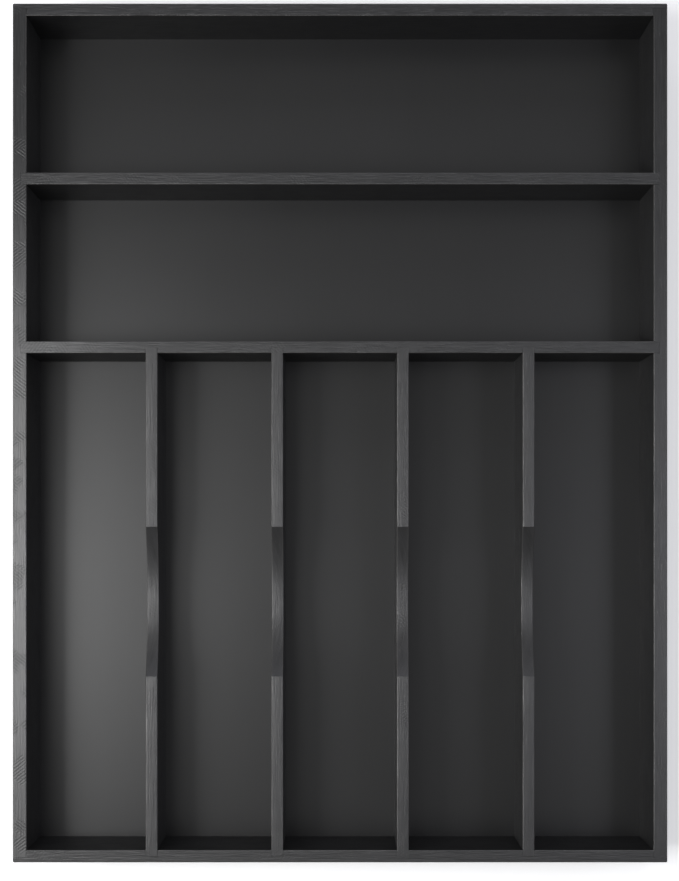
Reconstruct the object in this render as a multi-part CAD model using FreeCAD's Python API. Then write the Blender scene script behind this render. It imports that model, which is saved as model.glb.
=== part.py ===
import FreeCAD, Part
import os

# A cutlery tray of black bamboo: an open box with two compartments across its back and
# five long slots in front of them. Sizes are in millimetres. X runs across the tray, Y
# from its front to its back and Z up. The origin is under the middle of the tray, on the
# surface that its feet stand on.

# Overall size
tray_width = 330.0
tray_length = 433.0
wall_height = 50.0

# Boards
side_wall_thickness = 7.0
end_wall_thickness = 6.3
divider_thickness = 6.0
base_thickness = 4.0

# Layout of the compartments
rear_compartment_depth = 79.0
middle_compartment_depth = 79.0
outer_slot_width = 60.0
slot_divider_count = 4

# Joints between the boards
corner_tongue = 2.5
housing_depth = 3.0
groove_depth = 3.0
base_lip = 2.0
glue_gap = 0.08
panel_play = 0.3

# Edges
outer_round = 0.7
inner_round = 0.5

# Scoop in the top edge of each slot divider
scoop_length = 75.5
scoop_depth = 8.0

# Brads
pin_diameter = 1.2
pin_head_diameter = 2.0
pin_head_thickness = 0.6
pin_point_length = 1.5
pin_length = 18.0
corner_pin_edge_distance = 12.0
corner_pins_per_corner = 2
base_pin_end_distance = 30.0
base_pins_per_divider = 3

# Feet
foot_height = 3.0
foot_top_diameter = 10.0
foot_bottom_diameter = 8.6
foot_round = 0.7
foot_inset = 12.0

# How far a cutting tool runs past the wood
overrun = 1.0

# Heights
floor_to_wall = foot_height - base_lip
rim = floor_to_wall + wall_height
base_underside = floor_to_wall + base_lip
base_top = base_underside + base_thickness

# Faces of the walls
outer_x = tray_width / 2
outer_y = tray_length / 2
inner_x = outer_x - side_wall_thickness
inner_y = outer_y - end_wall_thickness

# Faces of the cross dividers
rear_divider_back = inner_y - rear_compartment_depth
rear_divider_front = rear_divider_back - divider_thickness
middle_divider_back = rear_divider_front - middle_compartment_depth
middle_divider_front = middle_divider_back - divider_thickness

# Centre lines of the slot dividers
inner_slot_count = slot_divider_count - 1
inner_slots_span = 2 * (inner_x - outer_slot_width) - slot_divider_count * divider_thickness
inner_slot_width = inner_slots_span / inner_slot_count
first_divider_x = -inner_x + outer_slot_width + divider_thickness / 2
divider_pitch = inner_slot_width + divider_thickness
divider_centres = [first_divider_x + i * divider_pitch for i in range(slot_divider_count)]

# Scoop
scoop_radius = ((scoop_length / 2) ** 2 + scoop_depth ** 2) / (2 * scoop_depth)
scoop_centre_y = (middle_divider_front - inner_y) / 2


def vector(x, y, z):
    return FreeCAD.Vector(x, y, z)


def block(x_span, y_span, z_span):
    """A box between two limits along each axis."""
    low = vector(x_span[0], y_span[0], z_span[0])
    size = vector(x_span[1], y_span[1], z_span[1]) - low
    return Part.makeBox(size.x, size.y, size.z, low)


def filled(edges):
    """The flat face inside a closed run of edges."""
    return Part.Face(Part.Wire(edges))


def line(start, end):
    return Part.LineSegment(start, end).toShape()


def quarter(start, end, centre):
    """A quarter circle from start to end around a centre."""
    radius = (start - centre).Length
    outward = (start + end) * 0.5 - centre
    middle = centre + outward.normalize() * radius
    return Part.Arc(start, middle, end).toShape()


def flared_slot(low, high, place, direction):
    """A cutter as wide as low to high whose sides flare outwards in a round at the rim.

    place turns a distance across the slot and a height into a point, and direction is
    the way in which the slot runs.
    """
    round_start = rim - inner_round
    bottom_low = place(low, round_start - overrun)
    bottom_high = place(high, round_start - overrun)
    start_low = place(low, round_start)
    start_high = place(high, round_start)
    end_low = place(low - inner_round, rim)
    end_high = place(high + inner_round, rim)
    top_low = place(low - inner_round, rim + overrun)
    top_high = place(high + inner_round, rim + overrun)
    edges = [
        line(bottom_low, start_low),
        quarter(start_low, end_low, place(low - inner_round, round_start)),
        line(end_low, top_low),
        line(top_low, top_high),
        line(top_high, end_high),
        quarter(end_high, start_high, place(high + inner_round, round_start)),
        line(start_high, bottom_high),
        line(bottom_high, bottom_low),
    ]
    return filled(edges).extrude(direction)


def rim_rounding(x_span, y_span):
    """A cutter that rounds the top edges around one compartment, with mitred corners."""
    x_start = x_span[0] - inner_round
    y_start = y_span[0] - inner_round
    x_run = x_span[1] + inner_round - x_start
    y_run = y_span[1] + inner_round - y_start
    along_y = flared_slot(*x_span, lambda u, z: vector(u, y_start, z), vector(0, y_run, 0))
    along_x = flared_slot(*y_span, lambda u, z: vector(x_start, u, z), vector(x_run, 0, 0))
    return along_y.common(along_x)


def compartments():
    """The spans in X and Y of the seven compartments."""
    spans = [
        ((-inner_x, inner_x), (rear_divider_back, inner_y)),
        ((-inner_x, inner_x), (middle_divider_back, rear_divider_front)),
    ]
    left_side = -inner_x
    for centre in divider_centres:
        right_side = centre - divider_thickness / 2
        spans.append(((left_side, right_side), (-inner_y, middle_divider_front)))
        left_side = centre + divider_thickness / 2
    spans.append(((left_side, inner_x), (-inner_y, middle_divider_front)))
    return spans


def outer_body():
    """The whole outside of the tray, with every outer edge rounded."""
    body = block((-outer_x, outer_x), (-outer_y, outer_y), (floor_to_wall, rim))
    return body.makeFillet(outer_round, body.Edges)


def scoop_cutter(centre_x):
    """A wheel lying across a divider that cuts its scoop and rounds the scoop's edges."""
    face = divider_thickness / 2
    axis_height = rim - scoop_depth + scoop_radius
    wide = scoop_radius + inner_round

    def place(x, radius):
        return vector(centre_x + x, scoop_centre_y, axis_height - radius)

    side = face + overrun
    shoulder = face - inner_round
    edges = [
        line(place(-side, 0), place(-side, wide)),
        line(place(-side, wide), place(-face, wide)),
        quarter(place(-face, wide), place(-shoulder, scoop_radius), place(-shoulder, wide)),
        line(place(-shoulder, scoop_radius), place(shoulder, scoop_radius)),
        quarter(place(shoulder, scoop_radius), place(face, wide), place(shoulder, wide)),
        line(place(face, wide), place(side, wide)),
        line(place(side, wide), place(side, 0)),
        line(place(side, 0), place(-side, 0)),
    ]
    return filled(edges).revolve(place(0, 0), vector(1, 0, 0), 360)


def brad(head, direction):
    """A headed pin whose head is flush at a point and whose shank runs along direction."""
    shank = pin_diameter / 2
    head_radius = pin_head_diameter / 2
    taper_end = pin_head_thickness + (head_radius - shank)
    outline = [
        (0, 0),
        (head_radius, 0),
        (head_radius, pin_head_thickness),
        (shank, taper_end),
        (shank, pin_length - pin_point_length),
        (0, pin_length),
    ]
    points = [vector(radius, 0, depth) for radius, depth in outline]
    edges = [line(a, b) for a, b in zip(points, points[1:] + points[:1])]
    pin = filled(edges).revolve(vector(0, 0, 0), vector(0, 0, 1), 360)
    turn = FreeCAD.Rotation(vector(0, 0, 1), direction)
    pin.Placement = FreeCAD.Placement(head, turn)
    return pin


def spread(low, high, count):
    """Evenly spaced places from low to high."""
    if count == 1:
        return [(low + high) / 2]
    return [low + (high - low) * i / (count - 1) for i in range(count)]


def make_corner_pins():
    """Brads through the side walls into the shoulders of the end walls."""
    shoulder_middle = (inner_y + outer_y - corner_tongue) / 2
    heights = spread(
        floor_to_wall + corner_pin_edge_distance,
        rim - corner_pin_edge_distance,
        corner_pins_per_corner,
    )
    pins = []
    for side in (-1, 1):
        for end in (-1, 1):
            for height in heights:
                head = vector(side * outer_x, end * shoulder_middle, height)
                pins.append(brad(head, vector(-side, 0, 0)))
    return pins


def make_base_pins():
    """Brads up through the base panel into the dividers."""
    up = vector(0, 0, 1)
    pins = []
    across = spread(
        -inner_x + base_pin_end_distance,
        inner_x - base_pin_end_distance,
        base_pins_per_divider,
    )
    for front in (rear_divider_front, middle_divider_front):
        for x in across:
            pins.append(brad(vector(x, front + divider_thickness / 2, base_underside), up))
    along = spread(
        -inner_y + base_pin_end_distance,
        middle_divider_front - base_pin_end_distance,
        base_pins_per_divider,
    )
    for x in divider_centres:
        for y in along:
            pins.append(brad(vector(x, y, base_underside), up))
    return pins


def slot_divider_housings(y_span):
    """Cutters for one end of each slot divider."""
    half = divider_thickness / 2 + glue_gap
    heights = (base_top, rim + overrun)
    return [block((x - half, x + half), y_span, heights) for x in divider_centres]


def cross_divider_housings(x_span):
    """Cutters for one end of each cross divider."""
    heights = (base_top, rim + overrun)
    cutters = []
    for front in (rear_divider_front, middle_divider_front):
        y_span = (front - glue_gap, front + divider_thickness + glue_gap)
        cutters.append(block(x_span, y_span, heights))
    return cutters


def make_side_wall(side):
    """A long wall: -1 is the left one and 1 the right one."""
    end = outer_y - corner_tongue - glue_gap
    inner = side * inner_x
    x_span = sorted((inner, side * outer_x))
    wall = block(x_span, (-end, end), (floor_to_wall, rim))
    groove_span = sorted((inner, side * (inner_x + groove_depth)))
    groove = block(groove_span, (-end, end), (base_underside, base_top))
    housing_span = sorted((inner, side * (inner_x + housing_depth + glue_gap)))
    return wall.cut([groove] + cross_divider_housings(housing_span))


def make_end_wall(end):
    """A short wall: -1 is the front one and 1 the back one."""
    shoulder = end * (outer_y - corner_tongue)
    inner = end * inner_y
    y_span = sorted((inner, end * outer_y))
    wall = block((-outer_x, outer_x), y_span, (floor_to_wall, rim))
    rabbet_span = sorted((inner, shoulder))
    heights = (floor_to_wall - overrun, rim + overrun)
    cutters = [
        block((-outer_x - overrun, -inner_x + glue_gap), rabbet_span, heights),
        block((inner_x - glue_gap, outer_x + overrun), rabbet_span, heights),
    ]
    groove_span = sorted((inner, end * (inner_y + groove_depth)))
    cutters.append(block((-inner_x, inner_x), groove_span, (base_underside, base_top)))
    if end < 0:
        cutters += slot_divider_housings((-inner_y - housing_depth - glue_gap, -inner_y))
    return wall.cut(cutters)


def make_base_panel():
    """The thin panel that is held in the grooves of the four walls."""
    reach = groove_depth - panel_play
    half_width = inner_x + reach
    half_length = inner_y + reach
    heights = (base_underside, base_top)
    return block((-half_width, half_width), (-half_length, half_length), heights)


def make_cross_divider(front):
    """A board across the tray whose ends are housed in the side walls."""
    end = inner_x + housing_depth
    return block((-end, end), (front, front + divider_thickness), (base_top, rim))


def make_slot_divider(centre):
    """A lengthwise board with a scoop, housed in the front wall and a cross divider."""
    half = divider_thickness / 2
    y_span = (-inner_y - housing_depth, middle_divider_front + housing_depth)
    board = block((centre - half, centre + half), y_span, (base_top, rim))
    return board.cut(scoop_cutter(centre))


def make_foot(side, end):
    """A rubber bumper stuck under a corner of the base panel."""
    top = foot_top_diameter / 2
    bottom = foot_bottom_diameter / 2
    centre = vector(side * (inner_x - foot_inset), end * (inner_y - foot_inset), 0)
    foot = Part.makeCone(bottom, top, foot_height, centre)
    bottom_edges = [edge for edge in foot.Edges if edge.BoundBox.ZMax < foot_height / 2]
    return foot.makeFillet(foot_round, bottom_edges)


def drilled(board, pins):
    """A board with a hole for every pin that runs into it."""
    hits = [pin for pin in pins if board.BoundBox.intersect(pin.BoundBox)]
    return board.cut(hits) if hits else board


def make_tray():
    """Every piece of the tray by its name."""
    middle_housings = slot_divider_housings(
        (middle_divider_front, middle_divider_front + housing_depth + glue_gap)
    )
    boards = {
        "left_wall": make_side_wall(-1),
        "right_wall": make_side_wall(1),
        "back_wall": make_end_wall(1),
        "front_wall": make_end_wall(-1),
        "base_panel": make_base_panel(),
        "rear_cross_divider": make_cross_divider(rear_divider_front),
        "middle_cross_divider": make_cross_divider(middle_divider_front).cut(middle_housings),
    }
    for number, centre in enumerate(divider_centres, start=1):
        boards["slot_divider_" + str(number)] = make_slot_divider(centre)

    body = outer_body()
    roundings = [rim_rounding(*spans) for spans in compartments()]
    corner_pins = make_corner_pins()
    base_pins = make_base_pins()
    pieces = {}
    for name, board in boards.items():
        board = board.common(body).cut(roundings)
        pieces[name] = drilled(board, corner_pins + base_pins)

    pieces["corner_pins"] = Part.makeCompound(corner_pins)
    pieces["base_pins"] = Part.makeCompound(base_pins)
    for end, end_name in ((-1, "front"), (1, "back")):
        for side, side_name in ((-1, "left"), (1, "right")):
            pieces[end_name + "_" + side_name + "_foot"] = make_foot(side, end)
    return pieces


os.makedirs("parts", exist_ok=True)
for name, shape in make_tray().items():
    shape.exportStep("parts/" + name + ".step")
    print(name, len(shape.Solids), "solids", round(shape.Volume), "mm3", shape.isValid())
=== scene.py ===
import math
import bpy
import mathutils
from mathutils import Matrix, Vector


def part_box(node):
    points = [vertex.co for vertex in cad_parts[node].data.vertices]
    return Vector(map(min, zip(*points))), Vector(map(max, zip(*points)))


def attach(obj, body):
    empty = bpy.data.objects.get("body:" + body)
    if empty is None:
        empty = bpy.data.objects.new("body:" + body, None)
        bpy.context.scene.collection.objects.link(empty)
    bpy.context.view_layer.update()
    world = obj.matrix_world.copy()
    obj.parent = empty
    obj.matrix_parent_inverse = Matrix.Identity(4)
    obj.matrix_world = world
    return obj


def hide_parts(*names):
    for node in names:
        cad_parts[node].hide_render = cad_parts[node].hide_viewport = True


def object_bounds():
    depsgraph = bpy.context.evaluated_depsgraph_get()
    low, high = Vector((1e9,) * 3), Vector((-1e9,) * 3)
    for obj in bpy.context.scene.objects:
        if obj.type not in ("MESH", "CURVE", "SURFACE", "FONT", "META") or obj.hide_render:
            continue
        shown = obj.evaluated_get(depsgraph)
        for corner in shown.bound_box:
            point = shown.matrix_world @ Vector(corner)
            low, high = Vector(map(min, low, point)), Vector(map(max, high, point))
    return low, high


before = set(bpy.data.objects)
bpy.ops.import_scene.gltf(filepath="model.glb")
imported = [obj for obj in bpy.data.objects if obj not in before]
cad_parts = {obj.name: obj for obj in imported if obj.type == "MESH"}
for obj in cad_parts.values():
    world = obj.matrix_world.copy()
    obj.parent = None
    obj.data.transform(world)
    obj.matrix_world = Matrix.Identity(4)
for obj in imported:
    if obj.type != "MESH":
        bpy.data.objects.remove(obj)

cad_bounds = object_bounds()

# The photograph's frame and what was measured on it, in pixels
PHOTO_WIDTH = 679
PHOTO_HEIGHT = 881
RIM_LEFT, RIM_RIGHT = 12.6, 667.5
RIM_TOP, RIM_BOTTOM = 3.2, 862.6
VANISHING_ROW = 542.0
# How far the foot of a wall moves towards the vanishing point, as a share of its distance
WALL_SHIFT = 0.045

# Sizes read from the frame, in metres
low, high = cad_bounds
RIM_HEIGHT = high[2]
FLOOR_OF_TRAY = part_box("base_panel")[1][2]
WALL_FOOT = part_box("left_wall")[0][2]
WALL_DEPTH = RIM_HEIGHT - FLOOR_OF_TRAY

# The stain on every board and on the panel, and the wood that shows through where it is worn,
# which is also the colour of the painted highlight on the rounded edges
BLACK_STAIN = (0.006, 0.006, 0.0064)
WORN_WOOD_AND_HIGHLIGHT = (0.06, 0.058, 0.056)

# The Mix node's sockets for colours
MIX_FACTOR, MIX_FIRST, MIX_SECOND, MIX_RESULT = 0, 6, 7, 2


class Graph:
    """Short ways to add shader nodes to one material or to the world."""

    def __init__(self, owner, output="OutputMaterial"):
        owner.use_nodes = True
        self.owner = owner
        self.tree = owner.node_tree
        self.tree.nodes.clear()
        self.links = self.tree.links
        self.output = self.node(output)

    def give(self, socket, value):
        """Gives an input socket a value, or a link from another node's socket."""
        if isinstance(value, bpy.types.NodeSocket):
            self.links.new(value, socket)
        else:
            socket.default_value = value

    def node(self, kind, inputs=None, **settings):
        """A node with its settings and inputs; an input is a value or another node's socket."""
        made = self.tree.nodes.new("ShaderNode" + kind)
        for key, value in settings.items():
            setattr(made, key, value)
        for key, value in (inputs or {}).items():
            self.give(made.inputs[key], value)
        return made

    def math(self, operation, first, second=0.0, clamp=False):
        return self.node("Math", {0: first, 1: second}, operation=operation, use_clamp=clamp).outputs[0]

    def add(self, first, second):
        return self.math("ADD", first, second)

    def minus(self, first, second):
        return self.math("SUBTRACT", first, second)

    def times(self, first, second):
        return self.math("MULTIPLY", first, second)

    def over(self, first, second):
        return self.math("DIVIDE", first, second)

    def centred(self, value):
        """Value, which lies about 0.5, moved to lie about 0."""
        return self.minus(value, 0.5)

    def swing(self, value, size):
        """Value, which lies about 0.5, turned into one about 0 and so many times as large."""
        return self.times(self.centred(value), size)

    def average(self, first, second, share):
        """First and second together, second with the share given and first with the rest."""
        return self.add(self.times(first, 1 - share), self.times(second, share))

    def total(self, start, *weighted):
        """Start, with each pair of a value and its weight added to it."""
        for value, weight in weighted:
            start = self.add(start, self.times(value, weight))
        return start

    def ramp(self, value, start, end, at_start=0.0, at_end=1.0):
        """A smooth step from at_start to at_end as value goes from start to end."""
        values = {"Value": value, "From Min": start, "From Max": end, "To Min": at_start, "To Max": at_end}
        return self.node("MapRange", values, interpolation_type="SMOOTHSTEP").outputs[0]

    def noise(self, vector, scale=1.0, detail=2.0, roughness=0.5):
        values = {"Vector": vector, "Scale": scale, "Detail": detail, "Roughness": roughness}
        return self.node("TexNoise", values).outputs["Fac"]

    def random(self, vector):
        return self.node("TexWhiteNoise", {"Vector": vector}, noise_dimensions="3D").outputs["Value"]

    def combine(self, x, y, z):
        return self.node("CombineXYZ", {0: x, 1: y, 2: z}).outputs[0]

    def split(self, vector):
        return self.node("SeparateXYZ", {0: vector}).outputs

    def blend(self, factor, first, second):
        """A mix of two colours."""
        mix = self.node("Mix", data_type="RGBA")
        self.give(mix.inputs[MIX_FACTOR], factor)
        self.give(mix.inputs[MIX_FIRST], first)
        self.give(mix.inputs[MIX_SECOND], second)
        return mix.outputs[MIX_RESULT]

    def shades(self, value, colour, tones):
        """A colour from the darker to the paler of two tones of the one given, as value goes from 0 to 1."""
        darker, paler = tones
        return self.blend(value, scaled(colour, darker), scaled(colour, paler))

    def bump(self, height, strength, distance):
        return self.node("Bump", {"Height": height, "Strength": strength, "Distance": distance}).outputs[0]

    def surface(self, **inputs):
        """The finished surface, from a Principled shader."""
        named = {key.replace("_", " "): value for key, value in inputs.items()}
        shader = self.node("BsdfPrincipled", named)
        self.links.new(shader.outputs[0], self.output.inputs["Surface"])
        return self.owner


def material_graph(name):
    return Graph(bpy.data.materials.new(name))


def opaque(colour):
    return (*colour, 1.0)


def scaled(colour, factor):
    return opaque([channel * factor for channel in colour])


# Which of a place's coordinates the grain runs along
ALONG_X, ALONG_Y = 0, 1

# The strips that the bamboo is glued up from, and its knuckles, in metres
STRIP_HEIGHT = 0.0167
BOARD_SPACING = 0.025
KNUCKLE_PITCH = 0.23
KNUCKLE_WIDTH = 0.0022
KNUCKLE_WANDER = 0.0016
# Two separate draws for each strip
TONE_DRAW, START_DRAW = 3.0, 7.0

# Width and length of the streaks along the grain, and how far they bend, in metres
BROAD_STREAK = (0.0024, 0.16)
FIBRE = (0.0008, 0.014)
FINE_FIBRE = (0.00035, 0.02)
VESSEL = (0.0006, 0.009)
FLECK = (0.0005, 0.004)
STREAK_BEND = 0.0012
# How rough the streaks' noise is
STREAK_NOISE_ROUGHNESS = 0.6

# The slanted cuts of the hatching, in metres, and their angle to the grain
HATCH_PITCH = 0.0014
HATCH_TILT = math.radians(52)
HATCH_UNEVEN = 0.0009
# Across each row of cuts a wave rises from 0 to this and falls again
ROW_PEAK = 0.5

# How fine each noise is: its scale per metre
CLOUD_SCALE = 22.0
KNUCKLE_SCALE = 350.0
BEND_SCALE = 14.0
UNEVEN_SCALE = 500.0
LEAN_SCALE = 45.0
PATCH_SCALE = 85.0
STIPPLE_SCALE = 1400.0

# The values between which each mark, region or tone goes from none to full
END_GRAIN_RAMP = (0.6, 0.85)
TOP_EDGE_RAMP = (0.5, 0.85)
VESSEL_RAMP = (0.62, 0.74)
FLECK_RAMP = (0.7, 0.76)
CUT_RAMP = (0.1, 0.4)
LEAN_RAMP = (0.47, 0.53)
PATCH_RAMP = (0.5, 0.58)
DOT_RAMP = (0.12, 0.42)
TONE_RAMP = (0.34, 0.66)
# The same for the wear and painted highlight of the rounded edges, with its strength at each of the two
# values
WEAR_AND_HIGHLIGHT_RAMP = (0.3, 0.66, 0.3, 0.9)

# Tones, as multiples of the stain's colour
STAIN_TONES = (0.55, 1.5)
END_GRAIN_TONES = (0.45, 1.0)
MARK_TONE = 0.4
KNUCKLE_TONE = 0.5
# The top edges are paler than the faces, and shine more
TOP_EDGE_TONE = 1.6

# How strongly each mark shows in the colour
FIBRE_SHARE = 0.6
STRIP_SHARE = 0.12
VESSEL_SHARE = 0.5
HATCH_SHARE = 0.35
FLECK_SHARE = 0.5
KNUCKLE_SHARE = 0.4

# Painted highlight: two top edges are made paler than the rest, standing in for light on them.
# Each stretch has its start and end along the grain and the share of painted highlight at each.
PAINTED_HIGHLIGHT = (0.074, 0.074, 0.074)
HIGHLIGHT_TONE_RAMP = (0.35, 0.65)
HIGHLIGHT_TONES = (0.75, 1.25)
HIGHLIGHT_HATCH_TONE = 2.0
HIGHLIGHT_HATCH_SHARE = 0.4
LEFT_WALL_HIGHLIGHT_STRETCHES = [(0.03, 0.14, 1.0, 0.0), (-0.21, -0.11, 0.45, 1.0)]
MIDDLE_DIVIDER_HIGHLIGHT_STRETCHES = [(-0.165, -0.09, 1.0, 0.0)]

# Roughness of the boards, and how much each mark changes it
TOP_EDGE_ROUGHNESS = 0.42
FACE_ROUGHNESS = 0.55
FIBRE_ROUGHENING = 0.16
CLOUD_ROUGHENING = 0.08
MARK_ROUGHENING = 0.05
ROUNDED_ROUGHENING = -0.06
END_GRAIN_ROUGHENING = 0.1
BOARD_IOR = 1.58
# How far the sanding spreads a highlight, and in which direction: mostly across the tray
BOARD_SPREAD = 0.5
SPREAD_DIRECTION = (1.0, 0.05, 0.01)

# Depth of the boards' relief in metres, and each mark's height as a multiple of it
BOARD_RELIEF = 0.0001
FINE_FIBRE_RELIEF = 0.7
FIBRE_RELIEF = 1.6
VESSEL_RELIEF = -0.4
KNUCKLE_RELIEF = 0.07
DOT_RELIEF = 0.3
# The cuts show most on the left wall
HATCH_RELIEF = -0.2
DEEP_HATCH_RELIEF = -0.6


def bamboo(name, grain, hatch_relief=HATCH_RELIEF, highlight_stretches=()):
    """Black stained bamboo with its grain along X or Y, and a painted highlight on its top edge's stretches.
    """
    graph = material_graph(name)
    place = graph.split(graph.node("TexCoord").outputs["Object"])
    normal = graph.split(graph.node("NewGeometry").outputs["Normal"])
    along = place[grain]
    across = place[1 - grain]
    height = place[2]
    facing_along = graph.math("ABSOLUTE", normal[grain])
    facing_across = graph.math("ABSOLUTE", normal[1 - grain])
    end_grain = graph.ramp(facing_along, *END_GRAIN_RAMP)
    top_edge = graph.times(graph.ramp(normal[2], *TOP_EDGE_RAMP), graph.minus(1.0, end_grain))
    object_place = graph.combine(*place)
    cloud = graph.noise(object_place, scale=CLOUD_SCALE, detail=3.0)

    # Strips that the boards are glued up from, each with its own tone
    strip = graph.math("FLOOR", graph.over(graph.minus(height, WALL_FOOT), STRIP_HEIGHT))
    board = graph.math("FLOOR", graph.over(across, BOARD_SPACING))
    strip_tone = graph.random(graph.combine(strip, board, TONE_DRAW))
    strip_start = graph.random(graph.combine(strip, board, START_DRAW))

    # Knuckles: narrow ridges across a strip where the cane had its joints
    steps = graph.add(graph.over(along, KNUCKLE_PITCH), strip_start)
    from_knuckle = graph.swing(graph.math("FRACT", steps), KNUCKLE_PITCH)
    wander = graph.swing(graph.noise(object_place, scale=KNUCKLE_SCALE, detail=1.0), KNUCKLE_WANDER)
    reach = graph.math("ABSOLUTE", graph.add(from_knuckle, wander))
    knuckle = graph.ramp(reach, 0.0, KNUCKLE_WIDTH, 1.0, 0.0)

    # Fibres: streaks along the grain
    bend = graph.swing(graph.noise(object_place, scale=BEND_SCALE), STREAK_BEND)
    crosswise = graph.add(graph.add(across, height), bend)

    def streaks(size, detail=2.0):
        width, length = size
        stretched = graph.combine(graph.over(along, length), graph.over(crosswise, width), board)
        return graph.noise(stretched, detail=detail, roughness=STREAK_NOISE_ROUGHNESS)

    broad = streaks(BROAD_STREAK)
    fibres = streaks(FIBRE)
    fine = streaks(FINE_FIBRE, detail=3.0)
    vessels = graph.ramp(streaks(VESSEL, detail=1.0), *VESSEL_RAMP)
    flecks = graph.ramp(streaks(FLECK, detail=1.0), *FLECK_RAMP)

    # Hatching: short slanted cuts in patches, leaning one way or the other
    uneven = graph.swing(graph.noise(object_place, scale=UNEVEN_SCALE, detail=1.0), HATCH_UNEVEN)

    def slanted_cuts(lean):
        slanted = graph.add(
            graph.times(along, math.sin(HATCH_TILT)),
            graph.times(crosswise, lean * math.cos(HATCH_TILT)),
        )
        rows = graph.math("PINGPONG", graph.over(graph.add(slanted, uneven), HATCH_PITCH), ROW_PEAK)
        return graph.ramp(rows, *CUT_RAMP)

    turn = graph.noise(object_place, scale=LEAN_SCALE, detail=0.0)
    patches = graph.ramp(graph.noise(object_place, scale=PATCH_SCALE, detail=1.0), *PATCH_RAMP)
    cuts = graph.ramp(turn, *LEAN_RAMP, slanted_cuts(-1), slanted_cuts(1))
    hatching = graph.times(cuts, patches)

    # End grain: a fine stipple of cut fibres
    stipple_place = graph.combine(across, height, 0.0)
    stipple = graph.node("TexVoronoi", {"Vector": stipple_place, "Scale": STIPPLE_SCALE})
    dots = graph.ramp(stipple.outputs["Distance"], *DOT_RAMP)

    # Rounded edges, where handling has polished and thinned the stain, most where they face 45 degrees;
    # the paler colour there is wear and also a painted highlight
    level = graph.math("SQRT", graph.minus(1.0, graph.times(facing_across, facing_across)))
    rounded = graph.math("MULTIPLY", graph.times(facing_across, level), 2.0, clamp=True)
    wear_and_highlight = graph.times(rounded, graph.ramp(cloud, *WEAR_AND_HIGHLIGHT_RAMP))

    # The stain, with each mark blended over what comes before it
    tone = graph.add(graph.average(broad, fibres, FIBRE_SHARE), graph.swing(strip_tone, STRIP_SHARE))
    stain = graph.shades(graph.ramp(tone, *TONE_RAMP), BLACK_STAIN, STAIN_TONES)
    stain = graph.blend(graph.times(vessels, VESSEL_SHARE), stain, scaled(BLACK_STAIN, MARK_TONE))
    stain = graph.blend(graph.times(hatching, HATCH_SHARE), stain, scaled(BLACK_STAIN, MARK_TONE))
    stain = graph.blend(graph.times(flecks, FLECK_SHARE), stain, opaque(WORN_WOOD_AND_HIGHLIGHT))
    stain = graph.blend(graph.times(knuckle, KNUCKLE_SHARE), stain, scaled(BLACK_STAIN, KNUCKLE_TONE))
    stain = graph.blend(end_grain, stain, graph.shades(dots, BLACK_STAIN, END_GRAIN_TONES))
    # The upward-facing top edges made paler than the faces
    paler_top = graph.node("VectorMath", {0: stain, "Scale": TOP_EDGE_TONE}, operation="SCALE").outputs[0]
    stain = graph.blend(top_edge, stain, paler_top)
    # Painted highlight: the top edge paler along the stretches, with streaks and darker cuts in it
    if highlight_stretches:
        streaky = graph.average(fine, fibres, FIBRE_SHARE)
        highlight_colour = graph.shades(graph.ramp(streaky, *HIGHLIGHT_TONE_RAMP), PAINTED_HIGHLIGHT, HIGHLIGHT_TONES)
        highlight_cuts = graph.times(hatching, HIGHLIGHT_HATCH_SHARE)
        highlight_colour = graph.blend(highlight_cuts, highlight_colour, scaled(BLACK_STAIN, HIGHLIGHT_HATCH_TONE))
        highlighted = top_edge
        for stretch in highlight_stretches:
            highlighted = graph.times(highlighted, graph.ramp(along, *stretch))
        stain = graph.blend(highlighted, stain, highlight_colour)
    # The rounded edges paler: worn wood, and a painted highlight
    stain = graph.blend(wear_and_highlight, stain, opaque(WORN_WOOD_AND_HIGHLIGHT))

    roughness = graph.total(
        graph.ramp(top_edge, 0.0, 1.0, FACE_ROUGHNESS, TOP_EDGE_ROUGHNESS),
        (graph.centred(fibres), FIBRE_ROUGHENING),
        (graph.centred(fine), FIBRE_ROUGHENING),
        (graph.centred(cloud), CLOUD_ROUGHENING),
        (graph.math("MAXIMUM", vessels, hatching), MARK_ROUGHENING),
        (rounded, ROUNDED_ROUGHENING),
        (end_grain, END_GRAIN_ROUGHENING),
    )
    relief = graph.total(
        graph.times(fine, FINE_FIBRE_RELIEF),
        (fibres, FIBRE_RELIEF),
        (vessels, VESSEL_RELIEF),
        (hatching, hatch_relief),
        (knuckle, KNUCKLE_RELIEF),
        (graph.times(dots, end_grain), DOT_RELIEF),
    )
    return graph.surface(
        Base_Color=stain,
        Roughness=roughness,
        IOR=BOARD_IOR,
        Anisotropic=BOARD_SPREAD,
        Tangent=graph.combine(*SPREAD_DIRECTION),
        Normal=graph.bump(relief, strength=1.0, distance=BOARD_RELIEF),
    )


# The panel's grain: its width and length in metres, and how rough its noise is
PANEL_GRAIN = (0.0009, 0.05)
PANEL_NOISE_ROUGHNESS = 0.6
# The scale per metre of the panel's other noises
PANEL_CLOUD_SCALE = 9.0
SPECKLE_SCALE = 2600.0
# The panel's tones, as multiples of the stain's colour, and the share of the cloud in them
PANEL_CLOUD_SHARE = 0.5
PANEL_TONE_RAMP = (0.3, 0.7)
PANEL_TONES = (0.85, 1.15)
# Roughness of the panel, and how much the cloud changes it
PANEL_ROUGHNESS = 0.32
PANEL_CLOUD_ROUGHENING = 0.06
PANEL_IOR = 1.65
# Depth of the panel's relief in metres, how strongly it shows, and the share of each mark
PANEL_RELIEF = 0.00004
PANEL_RELIEF_STRENGTH = 0.15
GRAIN_RELIEF = 0.5
SPECKLE_RELIEF = 0.25
# The underside's look is full where a face looks down so far, and gone where it looks up so far
UNDERSIDE_RAMP = (-0.5, 0.5, 1.0, 0.0)
UNDERSIDE_TONE = 1.5
UNDERSIDE_ROUGHENING = 0.2


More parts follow.
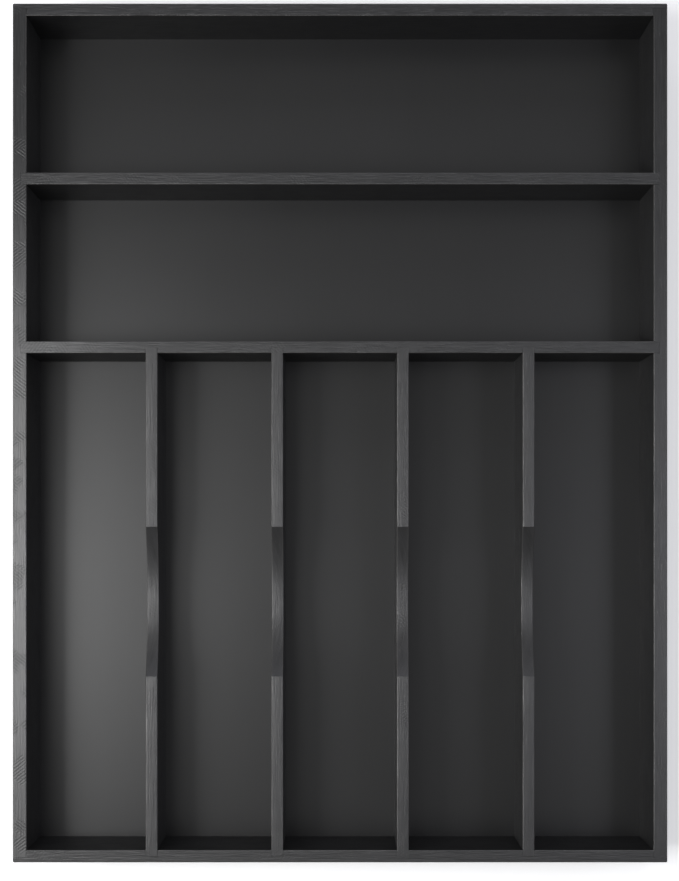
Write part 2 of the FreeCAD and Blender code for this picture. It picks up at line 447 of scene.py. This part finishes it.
def panel(name):
    """The smooth black panel under the compartments, rougher on its underside."""
    graph = material_graph(name)
    object_place = graph.node("TexCoord").outputs["Object"]
    x, y, z = graph.split(object_place)
    facing_up = graph.split(graph.node("NewGeometry").outputs["Normal"])[2]
    underside = graph.ramp(facing_up, *UNDERSIDE_RAMP)
    width, length = PANEL_GRAIN
    grain_place = graph.combine(graph.over(x, width), graph.over(y, length), graph.over(z, width))
    grain = graph.noise(grain_place, detail=3.0, roughness=PANEL_NOISE_ROUGHNESS)
    cloud = graph.noise(object_place, scale=PANEL_CLOUD_SCALE, detail=4.0)
    speckle = graph.noise(object_place, scale=SPECKLE_SCALE, detail=1.0)
    tone = graph.ramp(graph.average(grain, cloud, PANEL_CLOUD_SHARE), *PANEL_TONE_RAMP)
    colour = graph.shades(tone, BLACK_STAIN, PANEL_TONES)
    roughness = graph.total(
        PANEL_ROUGHNESS,
        (graph.centred(cloud), PANEL_CLOUD_ROUGHENING),
        (underside, UNDERSIDE_ROUGHENING),
    )
    relief = graph.total(graph.times(grain, GRAIN_RELIEF), (speckle, SPECKLE_RELIEF))
    return graph.surface(
        Base_Color=graph.blend(underside, colour, scaled(BLACK_STAIN, UNDERSIDE_TONE)),
        Roughness=roughness,
        IOR=PANEL_IOR,
        Normal=graph.bump(relief, PANEL_RELIEF_STRENGTH, PANEL_RELIEF),
    )


# The feet: the colours of clean and dusty rubber, and the scale per metre of its noises
CLEAN_RUBBER = (0.012, 0.012, 0.012)
DUSTY_RUBBER = (0.03, 0.029, 0.028)
MOULDED_SCALE = 1800.0
DUST_SCALE = 260.0
# The values between which the dust's colour goes from none to full
DUST_RAMP = (0.45, 0.7)
# The values between which the roughness rises, and the roughness at each
DUST_ROUGHNESS_RAMP = (0.3, 0.7, 0.62, 0.8)
# Height of the relief in metres, and how strongly it shows
RUBBER_RELIEF = 0.00008
RUBBER_RELIEF_STRENGTH = 0.4


def rubber(name):
    """Matt black rubber with a fine moulded grain."""
    graph = material_graph(name)
    place = graph.node("TexCoord").outputs["Object"]
    moulded = graph.noise(place, scale=MOULDED_SCALE, detail=2.0)
    dust = graph.noise(place, scale=DUST_SCALE, detail=3.0)
    return graph.surface(
        Base_Color=graph.blend(graph.ramp(dust, *DUST_RAMP), opaque(CLEAN_RUBBER), opaque(DUSTY_RUBBER)),
        Roughness=graph.ramp(dust, *DUST_ROUGHNESS_RAMP),
        Normal=graph.bump(moulded, RUBBER_RELIEF_STRENGTH, RUBBER_RELIEF),
    )


# The brads: the colours of stained and bare steel, and the scale per metre of the rubbed spots
STAINED_STEEL = (0.015, 0.015, 0.016)
BARE_STEEL = (0.3, 0.29, 0.28)
RUBBED_SCALE = 900.0
RUBBED_RAMP = (0.56, 0.68)
STAINED_ROUGHNESS = 0.5
BARE_ROUGHNESS = 0.35
# Height of the relief in metres, and how strongly it shows
STEEL_RELIEF = 0.00003
STEEL_RELIEF_STRENGTH = 0.3


def coated_steel(name):
    """Brads under black stain that has rubbed off the steel here and there."""
    graph = material_graph(name)
    place = graph.node("TexCoord").outputs["Object"]
    rubbed = graph.ramp(graph.noise(place, scale=RUBBED_SCALE, detail=3.0), *RUBBED_RAMP)
    return graph.surface(
        Base_Color=graph.blend(rubbed, opaque(STAINED_STEEL), opaque(BARE_STEEL)),
        Metallic=rubbed,
        Roughness=graph.ramp(rubbed, 0.0, 1.0, STAINED_ROUGHNESS, BARE_ROUGHNESS),
        Normal=graph.bump(rubbed, STEEL_RELIEF_STRENGTH, STEEL_RELIEF),
    )


# The slot dividers' scoop and rounded edges, in metres, as the CAD has them
SCOOP_LENGTH = 0.0755
SCOOP_DEPTH = 0.008
EDGE_ROUND = 0.0005
# How finely both are divided, and the angle from which an edge is shaded sharp
ROUND_STEPS = 8
SCOOP_STEP = 0.001
SHARP_ANGLE = math.radians(20)


def make_slot_divider(node):
    """A lengthwise board whose scoop and rounded edges are evenly curved, in place of the CAD's."""
    (left, front, bottom), (right, back, top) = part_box(node)
    centre = (left + right) / 2
    half_width = (right - left) / 2
    shoulder = half_width - EDGE_ROUND
    front_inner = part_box("front_wall")[1][1]
    back_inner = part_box("middle_cross_divider")[0][1]
    scoop_middle = (front_inner + back_inner) / 2
    scoop_start = scoop_middle - SCOOP_LENGTH / 2
    scoop_steps = round(SCOOP_LENGTH / SCOOP_STEP)
    radius = ((SCOOP_LENGTH / 2) ** 2 + SCOOP_DEPTH ** 2) / (2 * SCOOP_DEPTH)
    axis = top - SCOOP_DEPTH + radius

    def top_height(y, fall):
        """The height of the top at y, where an edge's round has fallen by so much."""
        from_middle = abs(y - scoop_middle)
        if from_middle > SCOOP_LENGTH / 2:
            return top - fall
        return min(top - fall, axis - math.sqrt((radius + fall) ** 2 - from_middle ** 2))

    def section(y, edge_round):
        """The board's outline across it at y, from the foot of its left face to that of its right."""
        outline = []
        turns = [step / ROUND_STEPS * math.pi / 2 for step in range(ROUND_STEPS + 1)]
        for side, order in ((-1, turns), (1, turns[::-1])):
            for turn in order:
                out = shoulder + EDGE_ROUND * math.cos(turn)
                fall = edge_round * (1 - math.sin(turn))
                outline.append((centre + side * out, y, top_height(y, fall)))
        return [(left, y, bottom), *outline, (right, y, bottom)]

    # The ends in their housings have square edges, and the stretch between them has rounded ones
    rings = [section(front, 0.0), section(front_inner, 0.0), section(front_inner, EDGE_ROUND)]
    for step in range(scoop_steps + 1):
        rings.append(section(scoop_start + SCOOP_LENGTH * step / scoop_steps, EDGE_ROUND))
    rings += [section(back_inner, EDGE_ROUND), section(back_inner, 0.0), section(back, 0.0)]

    count = len(rings[0])
    points = [point for ring in rings for point in ring]
    faces = [tuple(range(count)), tuple(range(len(points) - 1, len(points) - count - 1, -1))]
    for start in range(0, len(points) - count, count):
        for index in range(count):
            here = start + index
            beside = start + (index + 1) % count
            faces.append((here, here + count, beside + count, beside))
    mesh = bpy.data.meshes.new(node + "_smooth")
    mesh.from_pydata(points, [], faces)
    mesh.shade_smooth()
    mesh.set_sharp_from_angle(angle=SHARP_ANGLE)
    piece = bpy.data.objects.new(node + "_smooth", mesh)
    bpy.context.scene.collection.objects.link(piece)
    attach(piece, "root")
    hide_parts(node)
    return piece


def dress(piece, material):
    """Gives a piece its material."""
    mesh = piece.data
    mesh.materials.clear()
    mesh.materials.append(material)


def dress_all():
    """Gives every piece of the frame its material, and puts the smooth slot dividers in."""
    across_bamboo = bamboo("bamboo_across", ALONG_X)
    lengthwise_bamboo = bamboo("bamboo_lengthwise", ALONG_Y)
    steel = coated_steel("coated_steel")
    looks = {
        # The left wall's and the middle cross divider's top edges carry a painted highlight
        "left_wall": bamboo("bamboo_left_wall", ALONG_Y, DEEP_HATCH_RELIEF, LEFT_WALL_HIGHLIGHT_STRETCHES),
        "right_wall": lengthwise_bamboo,
        "back_wall": across_bamboo,
        "front_wall": across_bamboo,
        "rear_cross_divider": across_bamboo,
        "middle_cross_divider": bamboo("bamboo_middle", ALONG_X, HATCH_RELIEF, MIDDLE_DIVIDER_HIGHLIGHT_STRETCHES),
        "base_panel": panel("black_panel"),
        "corner_pins": steel,
        "base_pins": steel,
    }
    soft_black = rubber("black_rubber")
    for node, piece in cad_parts.items():
        if node.startswith("slot_divider"):
            dress(make_slot_divider(node), lengthwise_bamboo)
        elif node.endswith("_foot"):
            dress(piece, soft_black)
        else:
            dress(piece, looks[node])


# The floor: how far its three sides are from its middle, in metres, and its colour
FLOOR_REACH = 4.0
FLOOR_PALE = (0.9, 0.9, 0.9)
# Its lift to white near the tray and far off, and the distances between which it grows
NEAR_LIFT = 0.33
FAR_LIFT = 0.8
LIFT_FROM, LIFT_FULL = 0.5, 1.8
# The surround's colour, and its strength for the camera, for gloss and for diffuse light
WORLD_WHITE = (1.0, 1.0, 1.0)
WORLD_SEEN = 1.0
WORLD_GLOSS = 0.32
WORLD_FILL = 0.16


def rays(graph):
    """1 for a ray from the camera, and 1 for such a ray or one off gloss or through glass."""
    path = graph.node("LightPath").outputs
    from_camera = path["Is Camera Ray"]
    seen = graph.math("MAXIMUM", from_camera, path["Is Glossy Ray"])
    return from_camera, graph.math("MAXIMUM", seen, path["Is Transmission Ray"])


def make_floor():
    """A plain pale floor, lifted to white where it is seen, which keeps the shadow.

    It is one triangle, so that no edge runs under the tray, and it is open from below.
    """
    corner_distance = 2 * FLOOR_REACH
    turns = [corner * 2 * math.pi / 3 for corner in range(3)]
    corners = [(corner_distance * math.cos(turn), corner_distance * math.sin(turn), 0.0) for turn in turns]
    mesh = bpy.data.meshes.new("floor")
    mesh.from_pydata(corners, [], [(0, 1, 2)])
    floor = bpy.data.objects.new("floor", mesh)
    bpy.context.scene.collection.objects.link(floor)
    graph = material_graph("pale_floor")
    geometry = graph.node("NewGeometry").outputs
    distance = graph.node("VectorMath", {0: geometry["Position"]}, operation="LENGTH").outputs["Value"]
    lift = graph.ramp(distance, LIFT_FROM, LIFT_FULL, NEAR_LIFT, FAR_LIFT)
    pale = graph.node("BsdfDiffuse", {"Color": opaque(FLOOR_PALE)})
    glow = graph.node("Emission", {"Strength": graph.times(rays(graph)[1], lift)})
    both = graph.node("AddShader", {0: pale.outputs[0], 1: glow.outputs[0]})
    open_below = graph.node("BsdfTransparent")
    shaders = {0: geometry["Backfacing"], 1: both.outputs[0], 2: open_below.outputs[0]}
    one_sided = graph.node("MixShader", shaders)
    graph.links.new(one_sided.outputs[0], graph.output.inputs["Surface"])
    dress(floor, graph.owner)


def make_world():
    """An even surround: white where it is seen, dimmer in the gloss, dimmest as soft fill."""
    world = bpy.data.worlds.new("studio")
    bpy.context.scene.world = world
    graph = Graph(world, "OutputWorld")
    from_camera, seen = rays(graph)
    strength = graph.total(
        WORLD_FILL,
        (seen, WORLD_GLOSS - WORLD_FILL),
        (from_camera, WORLD_SEEN - WORLD_GLOSS),
    )
    surround = graph.node("Background", {"Color": opaque(WORLD_WHITE), "Strength": strength})
    graph.links.new(surround.outputs[0], graph.output.inputs["Surface"])


# The lamps at the right and behind are slightly cool, as the photograph's greys are
NEUTRAL_LIGHT = (1.0, 1.0, 1.0)
COOL_LIGHT = (0.97, 0.985, 1.09)


def soft_box(name, place, width, length, power, colour=NEUTRAL_LIGHT):
    """A rectangular soft light at place, facing the middle of the tray's rim."""
    lamp = bpy.data.lights.new(name, "AREA")
    lamp.shape = "RECTANGLE"
    lamp.size = width
    lamp.size_y = length
    lamp.energy = power
    lamp.color = colour
    holder = bpy.data.objects.new(name, lamp)
    bpy.context.scene.collection.objects.link(holder)
    holder.location = place
    facing = mathutils.Vector((0.0, 0.0, RIM_HEIGHT)) - mathutils.Vector(place)
    holder.rotation_euler = facing.to_track_quat("-Z", "Y").to_euler()


def light_tray():
    """Two soft lights at the left, one at the right and one behind, in metres and watts."""
    soft_box("left_box", place=(-0.76, -0.12, 1.0), width=0.42, length=0.7, power=10.8)
    soft_box("inner_box", place=(-0.48, -0.12, 1.1), width=0.3, length=0.7, power=1.3)
    soft_box("right_box", place=(0.74, -0.08, 1.0), width=0.5, length=0.6, power=3.0, colour=COOL_LIGHT)
    soft_box("back_box", place=(0.0, 2.0, 1.5), width=2.4, length=1.2, power=16.0, colour=COOL_LIGHT)


def make_camera():
    """The photograph's camera: straight above the tray, with a shifted lens."""
    scale = (high[1] - low[1]) / (RIM_BOTTOM - RIM_TOP)
    distance = WALL_DEPTH / WALL_SHIFT - WALL_DEPTH
    rim_column = (RIM_LEFT + RIM_RIGHT) / 2
    rim_row = (RIM_TOP + RIM_BOTTOM) / 2
    camera_y = (rim_row - VANISHING_ROW) * scale
    frame_y = (rim_row - PHOTO_HEIGHT / 2) * scale
    view_height = PHOTO_HEIGHT * scale
    camera = bpy.data.cameras.new("photo_camera")
    camera.lens = camera.sensor_width * distance / view_height
    camera.shift_y = (frame_y - camera_y) / view_height
    holder = bpy.data.objects.new("photo_camera", camera)
    holder.location = ((PHOTO_WIDTH / 2 - rim_column) * scale, camera_y, RIM_HEIGHT + distance)
    bpy.context.scene.collection.objects.link(holder)
    bpy.context.scene.camera = holder


make_camera()
make_floor()
make_world()
light_tray()
dress_all()
bpy.context.scene.view_settings.view_transform = "Standard"
